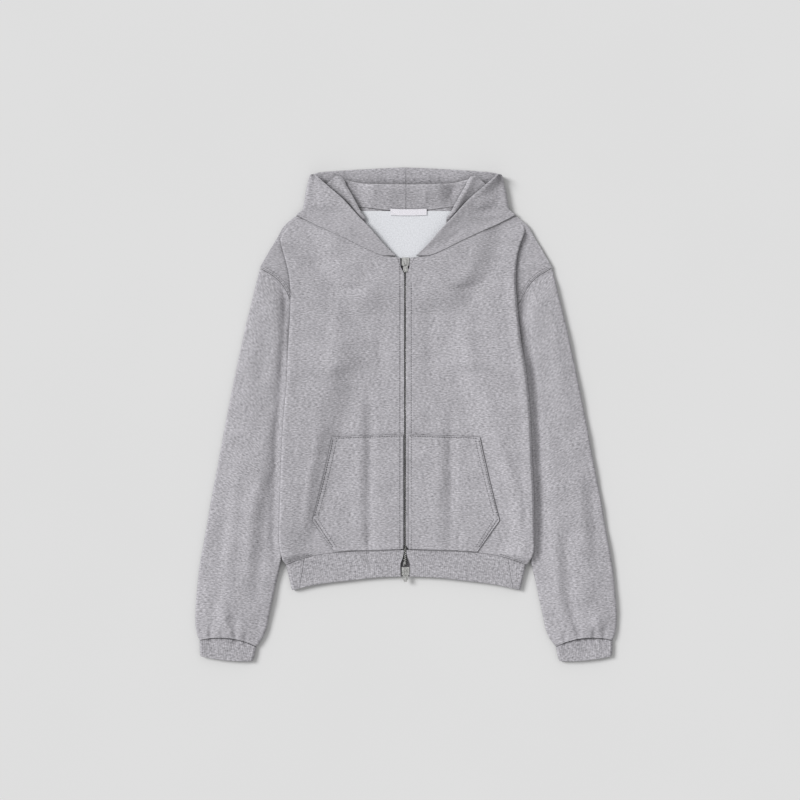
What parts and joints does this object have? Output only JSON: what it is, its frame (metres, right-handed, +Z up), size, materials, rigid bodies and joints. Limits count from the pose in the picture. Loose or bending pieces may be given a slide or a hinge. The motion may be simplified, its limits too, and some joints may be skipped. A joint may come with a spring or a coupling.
{
  "type": "zip up hoodie",
  "caption": "Heather grey fleece zip up hoodie laid flat on its back, with folded hood, kangaroo pockets, ribbed cuffs and hem, and a two-way metal zip with swinging pulls",
  "frame": {"origin": "centre of the underside's bounding box, on the surface that the garment lies on", "axes": "+X towards the wearer's left, +Y from the hem towards the hood, +Z up out of the front"},
  "size_m": [0.6752, 0.7912, 0.0209],
  "materials": {
    "grey_jersey": "heather grey brushed fleece, matt",
    "grey_rib": "heather grey rib knit, matt",
    "white_fleece": "brushed white fleece, soft nap",
    "zip_tape": "woven grey tape",
    "white_label": "bare woven satin label",
    "nickel": "polished nickel"
  },
  "bodies": {
    "garment": {"front_right": "grey_jersey", "front_left": "grey_jersey", "back": "grey_jersey", "sleeve_right": "grey_jersey", "sleeve_left": "grey_jersey", "cuff_right": "grey_rib", "cuff_left": "grey_rib", "hem_rib_front_right": "grey_rib", "hem_rib_front_left": "grey_rib", "hem_rib_back": "grey_rib", "pocket_right": "grey_jersey", "pocket_left": "grey_jersey", "hood_right": "grey_jersey", "hood_left": "grey_jersey", "neck_label": "white_label", "zip_tape_right": "zip_tape", "zip_tape_left": "zip_tape", "slider_top": "nickel", "slider_bottom": "nickel"},
    "pull_top": {"pull_tab_top": "nickel"},
    "pull_bottom": {"pull_tab_bottom": "nickel"}
  },
  "joints": [
    {"name": "top_pull_swing", "type": "hinge", "parent": "garment", "child": "pull_top", "pos_m": [-0.0008, 0.24356, 0.0186], "axis": [-1, 0, 0], "range_deg": [0, 165]},
    {"name": "bottom_pull_swing", "type": "hinge", "parent": "garment", "child": "pull_bottom", "pos_m": [-0.0008, -0.25104, 0.0098], "axis": [-1, 0, 0], "range_deg": [0, 165]}
  ]
}
